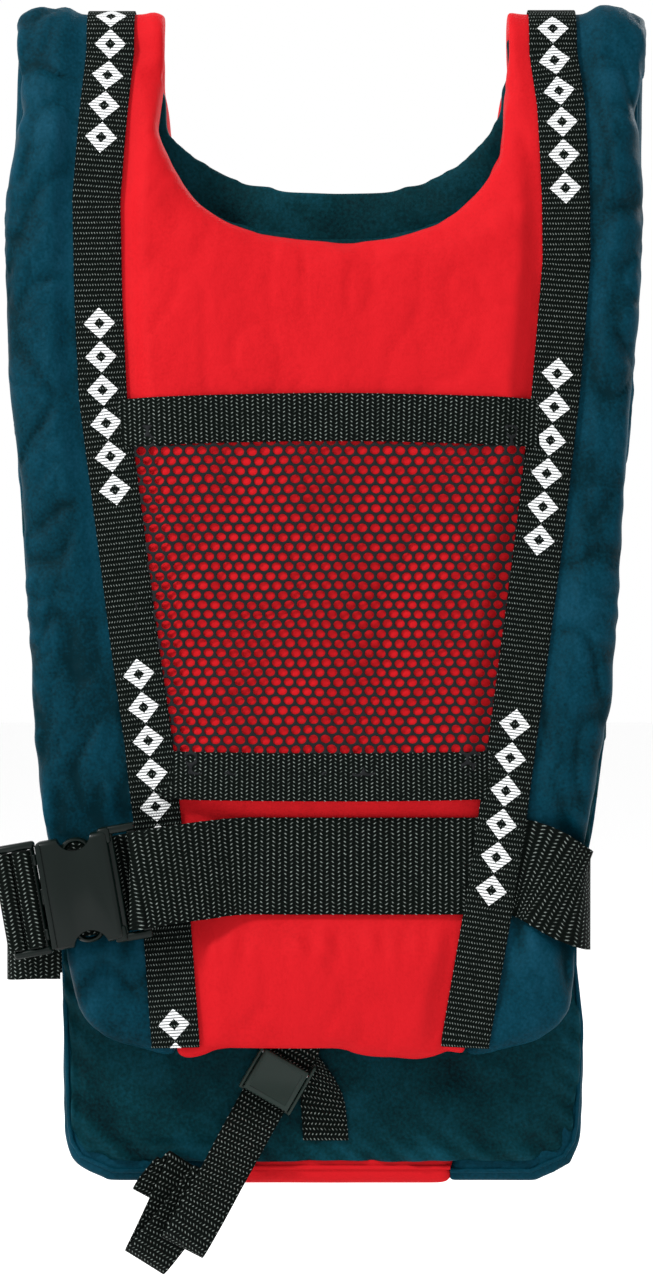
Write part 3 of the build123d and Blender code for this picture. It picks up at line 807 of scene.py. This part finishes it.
hem_stitch = 0.006
for side, body, low_z, rise, stands_for in ((1, "front", -0.5205, -0.002, "front_lining"),
                                            (-1, "back", -0.5885, 0.0018, "back_lining")):
    outline = lining_outline(side, low_z)
    piece = sewn_slab(body + "_lining_cloth", outline, -0.0006, 0.0044, lining_hole(side, rise))
    fill_with_foam(piece, voxel=0.0042, pressure=2.5, cap=0.0022, spare=0.02, seed=11.0 + side)
    shape = coords(piece)
    x, s, d = shape[:, 0], shape[:, 1], shape[:, 2]
    from_edge = np.minimum(np.minimum(x - left_edge(s), right_edge(s) - x), (s_of(low_z) - np.abs(s)))
    inner = 1 - ease(d, 0.0005, 0.0030)
    d -= 0.0009 * ease(from_edge, 0.010, 0.030) * inner
    d += 0.0016 * np.exp(-(((from_edge - hem_stitch - 0.003) / 0.0022) ** 2)) * inner
    ripples = np.array([waver(a * 30, b * 17, 3.0 * side) + 0.6 * waver(a * 60 + b * 40, b * 50, side)
                        for a, b in zip(x, s)])
    gather = np.sin(2 * math.pi * (s / 0.017 + x / 0.019) + 2.0 * np.sin(s * 53 + x * 37))
    gather *= np.exp(-((from_edge / 0.016) ** 2))
    folds = (0.0026 * ripples + 0.0013 * gather) * inner
    d += folds
    # It lies flat under the crotch strap's sewn end.
    flat_zone = (1 - ease(np.abs(x), 0.022, 0.040)) * ease(np.abs(s), 0.530, 0.550) * (side < 0)
    shape[:, 2] = np.clip(d, -0.0034 + 0.0032 * flat_zone, 0.0050)
    # The folds set the lining's painted shade in its hollows and painted highlight on its swells.
    keep_relief(piece, -folds)
    put_coords(piece, hang(shape))
    dress(piece, lining_navy)
    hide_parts(stands_for)
    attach(piece, body)

# -------------------------------- shoulder straps
# 25 mm webbing sewn over the seams between red and navy, each one run from the front hem over
# the shoulder to the back hem. On the front the left one passes under the waist belt and the
# right one over it; on the back both pass under it.


def over_fold(points, depths):
    """Hanging middles and across directions for (x, s) points at their depths."""
    flat = np.array([(x, s, d) for (x, s), d in zip(points, depths)])
    step = np.gradient(flat[:, :2], axis=0)
    step /= np.linalg.norm(step, axis=1)[:, None]
    square = np.stack([np.abs(step[:, 1]), -step[:, 0] * np.sign(step[:, 1]), np.zeros(len(flat))], axis=1)
    middles = hang(flat)
    acrosses = hang(flat + square * 0.004) - middles
    return middles, acrosses


def strap_depth(x, s, over):
    """The strap's middle depth: sunk a little in its seam, and pinched under the belt."""
    z = -(abs(s) - quarter) + fold_z
    depth = float(full_depth(np.array(s))) - 0.0022
    if abs(s) > 0.2:
        near = 1 - float(ease(abs(z - belt_centre_z(x, math.copysign(1, s))), 0.026, 0.046))
        depth += near * (0.0006 if over and s > 0 else -0.0036)
    return depth


for side, seam in (("left", left_seam), ("right", right_seam)):
    runs = np.linspace(s_of(-0.5245), -s_of(-0.5955), 330)
    points = [(float(seam(s)), float(s)) for s in runs]
    depths = [strap_depth(x, s, side == "right") + 0.0004 * math.sin(s * 34 + x * 60) for x, s in points]
    middles, acrosses = over_fold(points, depths)
    strap = webbing("shoulder_strap_" + side, middles, acrosses, strap_wide, strap_thick, strap_weave[side])
    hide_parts("front_strap_" + side, "back_strap_" + side, "strap_ridge_" + side)
    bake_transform(strap)

# -------------------------------- waist belt
# One run of 50 mm webbing: folded round the socket's end bar, across the front, round the
# right side, across the back and round the left side to the plug.
belt_depth = front_thick + fold_inner - 0.0039
belt_back_depth = back_thick + fold_inner - 0.0039


def rounded_run(corners, radius, pitch):
    """Points every pitch along corners, each corner rounded."""
    corners = [Vector(c) for c in corners]
    points = [corners[0]]
    for before, here, after in zip(corners, corners[1:], corners[2:]):
        back, ahead = before - here, after - here
        cut = min(radius, back.length * 0.49, ahead.length * 0.49)
        start, end = here + back.normalized() * cut, here + ahead.normalized() * cut
        for t in np.linspace(0, 1, 9):
            points.append(start * (1 - t) ** 2 + here * 2 * t * (1 - t) + end * t ** 2)
    points.append(corners[-1])
    spaced = [points[0]]
    for a, b in zip(points, points[1:]):
        count = max(1, round((b - a).length / pitch))
        spaced += [a.lerp(b, k / count) for k in range(1, count + 1)]
    return spaced


def upright(points):
    """Across directions near vertical, square to a run of points."""
    acrosses = []
    for i, here in enumerate(points):
        ahead = (points[min(i + 1, len(points) - 1)] - points[max(i - 1, 0)]).normalized()
        acrosses.append(Vector((0, 0, 1)) - ahead * ahead.z)
    return acrosses


tilt = math.radians(10)
buckle_u = Vector((math.cos(tilt), 0, math.sin(tilt)))
buckle_v = Vector((-math.sin(tilt), 0, math.cos(tilt)))
buckle_w = Vector((0, -1, 0))
buckle_mouth = Vector((-0.146, -0.0435, -0.445))


def in_buckle(u, v, w):
    """A point in the buckle's frame: u towards the belt, v across, w forward."""
    return buckle_mouth + buckle_u * u + buckle_v * v + buckle_w * w


bar_u, bar_round = 0.050, 0.0041
nose = [in_buckle(bar_u - bar_round * math.cos(a), 0, bar_round * math.sin(a))
        for a in np.linspace(-1.45, 1.45, 9)]
front_run = [(-0.058, -0.0335, -0.4315), (-0.084, -0.0385, -0.4345), *nose,
             (-0.086, -0.0455, -0.4345), (-0.066, -0.0395, -0.4318), (-0.045, -belt_depth - 0.0005, -0.4298)]
front_run += [(x, -belt_depth, belt_centre_z(x, 1)) for x in (-0.02, 0.0, 0.03, 0.06, 0.085, 0.100, 0.112)]
around_right = [(0.122, -0.0285, -0.4410), (0.133, -0.0240, -0.4475), (0.1385, -0.012, -0.4500),
                (0.1390, 0.010, -0.4510), (0.1335, 0.0225, -0.4510), (0.122, 0.0272, -0.4511)]
back_run = [(x, belt_back_depth, belt_centre_z(x, -1)) for x in (0.110, 0.08, 0.04, 0.0, -0.04, -0.08, -0.115)]
around_left = [(-0.140, 0.0275, -0.4655), (-0.157, 0.0200, -0.4655), (-0.1655, 0.004, -0.4655),
               (-0.1670, -0.014, -0.4650), (-0.1640, -0.0300, -0.4640), (-0.1520, -0.0355, -0.4630),
               (-0.1380, -0.0360, -0.4630)]
belt_points = rounded_run(front_run + around_right + back_run + around_left, radius=0.008, pitch=0.0045)
waist_belt = webbing("waist_belt", belt_points, upright(belt_points), belt_wide + 0.0005, 0.0020,
                     belt_weave, lanes=8)
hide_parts("belt_front", "belt_back", "belt_side_left", "belt_side_right", "belt_fold")
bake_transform(waist_belt)

for side, x in (("left", -0.108), ("right", 0.108)):
    middle = belt_centre_z(x, -1)
    face = back_thick + fold_inner
    outline = [(0.0400, 0.0036), (0.0300, 0.0034), (0.0262, 0.0018), (-0.0262, 0.0018), (-0.0300, 0.0034),
               (-0.0400, 0.0036)]
    points = rounded_run([(x, face - sunk, middle + up) for up, sunk in outline], radius=0.002, pitch=0.003)
    sideways = [Vector((1, 0, 0))] * len(points)
    keeper = webbing("belt_keeper_" + side, points, sideways, 0.014, 0.0014, plain_weave)
    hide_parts("belt_keeper_" + side)
    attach(keeper, "back")

# -------------------------------- net pocket
# A knitted black net with honeycomb openings on the red front, held by a band of 25 mm
# webbing above and below. The straps hold its sides.


def surface_depth(x, s):
    """The red cover's outer depth under a flat point."""
    hit = flat_red.ray_cast(Vector((x, s, 0.08)), Vector((0, 0, -1)))
    return hit[0].z if hit[0] else front_thick - 0.003


def smoothed(values, passes):
    """A row of values with its dips filled and its steps rounded off."""
    values = np.array(values, dtype=float)
    for _ in range(passes):
        padded = np.pad(values, 1, mode="edge")
        values = np.maximum(values, (padded[:-2] + padded[2:]) / 2) * 0.5 + (padded[:-2] + padded[2:]) / 4
    return values


def band(name, top, sag, stands_for):
    """A band of webbing across the front, on the padding and under the straps at its ends."""
    rows = []
    for t in np.linspace(0, 1, 60):
        s = s_of(top - strap_wide / 2 + sag * math.sin(math.pi * t))
        low, high = float(left_seam(s)) + 0.004, float(right_seam(s)) - 0.004
        rows.append((low + (high - low) * t, s))
    across = (-0.0115, -0.006, 0, 0.006, 0.0115)
    top = smoothed([max(surface_depth(x, s + k) for k in across) + 0.0011 for x, s in rows], 3)
    flat = np.array([(x, s, d) for (x, s), d in zip(rows, top)])
    middles = hang(flat)
    piece = webbing(name, middles, upright([Vector(p) for p in middles]), strap_wide, 0.0015, plain_weave)
    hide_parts(stands_for)
    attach(piece, "front")


band("pocket_band_above", -0.1870, 0.0030, "pocket_band_top")
band("pocket_band_below", -0.3700, -0.0010, "pocket_band_bottom")

net_pitch, net_row, strand = 0.0064, 0.0050, 0.0020
net_top, net_low = -0.2040, -0.3790
shape = bmesh.new()
corner_of = {}


def net_corner(x, s):
    """The net's vertex at a flat point, shared between its cells."""
    key = (round(x * 20000), round(s * 20000))
    if key not in corner_of:
        corner_of[key] = shape.verts.new((x, s, 0))
    return corner_of[key]


cell = [(0, -2), (0.5, -1), (0.5, 1), (0, 2), (-0.5, 1), (-0.5, -1)]
rows = int((net_top - net_low) / net_row) + 1
for row in range(rows):
    s = s_of(net_top) + row * net_row
    offset = (row % 2) * net_pitch / 2
    for column in range(-17, 19):
        x = column * net_pitch + offset
        if not float(left_seam(s)) + 0.006 < x < float(right_seam(s)) - 0.006:
            continue
        shape.faces.new([net_corner(x + a * net_pitch, s + b * net_row / 3) for a, b in cell])
net_mesh = bpy.data.meshes.new("pocket_net")
shape.to_mesh(net_mesh)
shape.free()
net = placed("pocket_net", net_mesh)
settle(net, "WIREFRAME", thickness=strand, use_even_offset=False, use_boundary=True, use_replace=True,
       offset=0.0)
settle(net, "SUBSURF", levels=1, render_levels=1)
flat = coords(net)
flat[:, 2] *= 0.45
round_about = ((0, 0), (0.003, 0), (-0.003, 0), (0, 0.003), (0, -0.003))
wavy = np.array([waver(x * 30 + s * 10, s * 14 - x * 16, 5.0) for x, s, d in flat])
for i, (x, s, d) in enumerate(flat):
    flat[i, 0] = x + 0.0010 * waver(x * 40, s * 40, 1.0)
    flat[i, 1] = s + 0.0010 * waver(x * 40, s * 40, 9.0)
    lie = max(surface_depth(x + a, s + b) for a, b in round_about)
    flat[i, 2] = d + lie + 0.0006 + 0.0010 * max(0.0, wavy[i] + 0.3)
put_coords(net, hang(flat))
net_paint, _ = fresh_paint("black_net", 0.75, {"Base Color": (0.006, 0.007, 0.008, 1),
                                               "Specular IOR Level": 0.15})
dress(net, net_paint)
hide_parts("pocket_mesh")
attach(net, "front")

# -------------------------------- plastic
# Moulded black acetal with a fine satin grain.
plastic, plastic_shader = fresh_paint("black_acetal", 0.36, {
    "Base Color": (0.0010, 0.0042, 0.0032, 1), "Specular IOR Level": 0.10, "Coat Weight": 0.16,
    "Coat Roughness": 0.18})
grain_place = node_of(plastic, "ShaderNodeTexCoord")
grain = node_of(plastic, "ShaderNodeTexNoise", in2=1600.0, in3=2.0)
link(plastic, grain_place.outputs["Object"], grain.inputs[0])
grain_rough = sum_of(plastic, "MULTIPLY_ADD", grain.outputs[0], 0.2, 0.26)
link(plastic, grain_rough, plastic_shader.inputs["Roughness"])
link(plastic, bumped(plastic, grain.outputs[0], 0.25, 0.0002).outputs[0], plastic_shader.inputs["Normal"])


def block(low, high, rounding, steps=3):
    """A box between two corners with rounded edges, made at the origin."""
    deselect_all()
    bpy.ops.mesh.primitive_cube_add(size=1)
    made = bpy.context.object
    low, high = np.array(low), np.array(high)
    put_coords(made, (coords(made) + 0.5) * (high - low) + low)
    if rounding:
        settle(made, "BEVEL", width=rounding, segments=steps, limit_method="ANGLE")
    return made


def rod(start, end, radius):
    """A round bar between two points."""
    start, end = Vector(start), Vector(end)
    deselect_all()
    bpy.ops.mesh.primitive_cylinder_add(vertices=40, radius=radius, depth=(end - start).length)
    made = bpy.context.object
    turn = (end - start).to_track_quat("Z", "Y").to_matrix()
    put_coords(made, coords(made) @ np.array(turn).T + np.array((start + end) / 2))
    return made


def twins(low, high, rounding, axis=1):
    """A box and its mirror image across the middle of one axis."""
    far_low, far_high = list(low), list(high)
    far_low[axis], far_high[axis] = -high[axis], -low[axis]
    return [block(low, high, rounding), block(far_low, far_high, rounding)]


def cut(piece, *cutters):
    """Takes the cutters out of a piece."""
    for cutter in cutters:
        settle(piece, "BOOLEAN", object=cutter, operation="DIFFERENCE", solver="EXACT")
        bpy.data.objects.remove(cutter)


def moulding(name, shells, origin, side, up, out, paint, body, stands_for, slot="buckle_plastic"):
    """Joins shells made in a local frame, sets them in place and gives them their finish."""
    deselect_all()
    for shell in shells:
        shell.select_set(True)
    bpy.context.view_layer.objects.active = shells[0]
    if len(shells) > 1:
        bpy.ops.object.join()
    made = shells[0]
    made.name = name
    axes = np.array([tuple(side), tuple(up), tuple(out)])
    put_coords(made, coords(made) @ axes + np.array(origin))
    dress(made, paint, 38)
    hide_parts(*stands_for)
    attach(made, body)
    return made


# -------------------------------- side-release buckle
# The socket is a flat hollow shell with a round bite out of each side, and two arms to the
# bar that the belt is folded round. The plug is a ladder frame with a tongue and two
# sprung prongs, whose loops show in the bites and are squeezed to let it go.
in_frame = (buckle_mouth, buckle_u, buckle_v, buckle_w)
socket_shell = block((0, -0.0285, -0.0062), (0.038, 0.0285, 0.0062), 0)
settle(socket_shell, "BEVEL", width=0.0032, segments=5, limit_method="ANGLE")
cut(socket_shell, block((-0.002, -0.0245, -0.0042), (0.033, 0.0245, 0.0042), 0),
    rod((0.0205, 0.0300, -0.02), (0.0205, 0.0300, 0.02), 0.0092),
    rod((0.0205, -0.0300, -0.02), (0.0205, -0.0300, 0.02), 0.0092))
settle(socket_shell, "BEVEL", width=0.0007, segments=2, limit_method="ANGLE", angle_limit=math.radians(40))
mouth_lip = block((0.0002, -0.0272, 0.0058), (0.0030, 0.0272, 0.0071), 0.0006)
socket_parts = [socket_shell, mouth_lip, *twins((0.0345, 0.0259, -0.0030), (0.0525, 0.0302, 0.0034), 0.0014),
                *twins((0.0330, 0.0215, -0.0045), (0.0395, 0.0300, 0.0048), 0.0016)]
socket_parts.append(block((0.0478, -0.0290, -0.0025), (0.0523, 0.0290, 0.0025), 0.0012))
socket_parts.append(block((0.0365, -0.0270, -0.0040), (0.0405, 0.0270, 0.0030), 0.0014))
moulding("buckle_socket_shell", socket_parts, *in_frame, plastic, "front", ["buckle_socket"])

plug_frame = block((-0.0185, -0.0288, -0.0027), (-0.0006, 0.0288, 0.0027), 0.0018)
cut(plug_frame, block((-0.0148, -0.0257, -0.01), (-0.0122, 0.0257, 0.01), 0),
    block((-0.0045, -0.0257, -0.01), (-0.0028, 0.0257, 0.01), 0))
plug_parts = [plug_frame, block((-0.0015, -0.0045, -0.0020), (0.0170, 0.0045, 0.0020), 0.0010),
              *twins((-0.0200, 0.0255, -0.0036), (0.0000, 0.0296, 0.0040), 0.0017),
              *twins((-0.0024, 0.0165, -0.0032), (-0.0001, 0.0225, 0.0032), 0.0008)]
moulding("buckle_plug_frame", plug_parts, *in_frame, plastic, "buckle_plug", ["buckle_plug"])

for side, sign in (("upper", 1), ("lower", -1)):
    deselect_all()
    bpy.ops.mesh.primitive_torus_add(major_radius=0.0050, minor_radius=0.0014, major_segments=48,
                                     minor_segments=14)
    ring = bpy.context.object
    ring_shape = coords(ring) * np.array([1.25, 1.0, 2.3]) + np.array([0.0205, sign * 0.0212, 0])
    put_coords(ring, ring_shape)
    v_low, v_high = sorted((sign * 0.0172, sign * 0.0199))
    stem = block((0.0003, v_low, -0.0030), (0.0165, v_high, 0.0030), 0.0010)
    moulding("buckle_prong_" + side, [ring, stem], *in_frame, plastic, "prong_" + side, ["prong_" + side])

# A short layer of belt webbing lies under the socket and its bar.
backing_run = [in_buckle(0.006, 0, -0.0082), in_buckle(0.040, 0, -0.0080), in_buckle(0.062, 0, -0.0085),
               (-0.066, -0.0335, -0.4325)]
backing_points = rounded_run(backing_run, radius=0.006, pitch=0.004)
backing = webbing("buckle_backing", backing_points, upright(backing_points), 0.0490, 0.0016, belt_weave,
                  lanes=8)
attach(backing, "front")

# The belt's free end is doubled round the plug's outer bar and back over its middle.
loop_route = [(-0.0030, -0.0046), (-0.0120, -0.0048), (-0.0185, -0.0044), (-0.0216, -0.0022),
              (-0.0220, 0.0010), (-0.0206, 0.0036), (-0.0176, 0.0042), (-0.0150, 0.0034),
              (-0.0136, 0.0004), (-0.0120, 0.0008), (-0.0108, 0.0034), (-0.0085, 0.0042),
              (-0.0055, 0.0042), (-0.0038, 0.0034), (-0.0030, 0.0008)]
loop_points = rounded_run([in_buckle(u, 0, w) for u, w in loop_route], radius=0.002, pitch=0.0009)
plug_loop = webbing("plug_webbing_loop", loop_points, [buckle_v] * len(loop_points), belt_wide, 0.0018,
                    belt_weave, v_start=0.001, lanes=8)
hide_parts("plug_webbing")
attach(plug_loop, "buckle_plug")

# -------------------------------- crotch strap's cam buckle
# A small frame with two side rails, a steel pin, and a lever whose flat lid presses the
# webbing. The strap is sewn inside the front, and a short link ties the buckle to the back.
on_cam = (cam_middle, strap_across, strap_along, buckle_w)
cam_plate = block((-0.0155, -0.0145, -0.0012), (0.0155, 0.0145, 0.0002), 0.0005)
cam_parts = [cam_plate, *twins((0.0137, -0.0145, -0.0012), (0.0155, 0.0145, 0.0070), 0.0008, axis=0)]
cam_parts.append(block((-0.0150, -0.0150, -0.0012), (0.0150, -0.0128, 0.0012), 0.0006))
moulding("cam_buckle_frame", cam_parts, *on_cam, plastic, "front", ["cam_frame"])

lid = block((-0.0133, -0.0135, 0.0058), (0.0133, 0.0104, 0.0082), 0.0009)
recess = block((-0.0108, -0.0108, 0.0079), (0.0108, 0.0076, 0.0100), 0.0)
cut(lid, recess)
settle(lid, "BEVEL", width=0.0003, segments=2, limit_method="ANGLE", angle_limit=math.radians(50))
lug = block((-0.0130, 0.0058, 0.0020), (0.0130, 0.0102, 0.0066), 0.0010)
moulding("cam_buckle_lever", [lid, lug], *on_cam, plastic, "cam_lever", ["cam_lever"])

cam_plastic = plastic.copy()
cam_plastic.name = "green_black_acetal"
cam_plastic.node_tree.nodes["Principled BSDF"].inputs["Base Color"].default_value = (0.011, 0.022, 0.018, 1)
for moulded in (bpy.data.objects["cam_buckle_frame"], bpy.data.objects["cam_buckle_lever"]):
    moulded.data.materials[0] = cam_plastic

steel, _ = fresh_paint("steel", 0.3, {"Base Color": (0.45, 0.45, 0.46, 1), "Metallic": 1.0})
pin = rod((-0.0150, 0.0080, 0.0042), (0.0150, 0.0080, 0.0042), 0.0012)
moulding("cam_buckle_pin", [pin], *on_cam, steel, "front", ["cam_pin"], slot="steel")


def on_strap(across, along, out):
    """A point in the cam buckle's frame."""
    return cam_middle + strap_across * across + strap_along * along + buckle_w * out


strap_run = [(-0.0085, -0.0028, -0.4980), (-0.0140, -0.0028, -0.5180), on_strap(0.001, 0.021, 0.0022),
             on_strap(0, 0.010, 0.0014), on_strap(0, -0.0146, 0.0012)]
strap_points = rounded_run(strap_run, radius=0.006, pitch=0.003)
strap_turns = [strap_across] * len(strap_points)
crotch_strap = webbing("crotch_strap", strap_points, strap_turns, strap_wide, 0.0012, plain_weave)
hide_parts("crotch_web", "crotch_anchor")
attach(crotch_strap, "front")

link_route = [(0.0000, 0.0024, -0.5775), (-0.0010, 0.0022, -0.5640), (-0.0020, 0.0018, -0.5530),
              (-0.0060, 0.0012, -0.5420), (-0.0125, 0.0000, -0.5310), (-0.0170, -0.0014, -0.5230)]
link_points = rounded_run(link_route, radius=0.006, pitch=0.0025)
link_turns = [Vector((math.cos(0.5 * t), 0.05 * t, -math.sin(0.5 * t)))
              for t in np.linspace(0, 1, len(link_points))]
crotch_tie = webbing("crotch_strap_link", link_points, link_turns, 0.0240, 0.0012, plain_weave)
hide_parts("crotch_link")
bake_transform(crotch_tie)
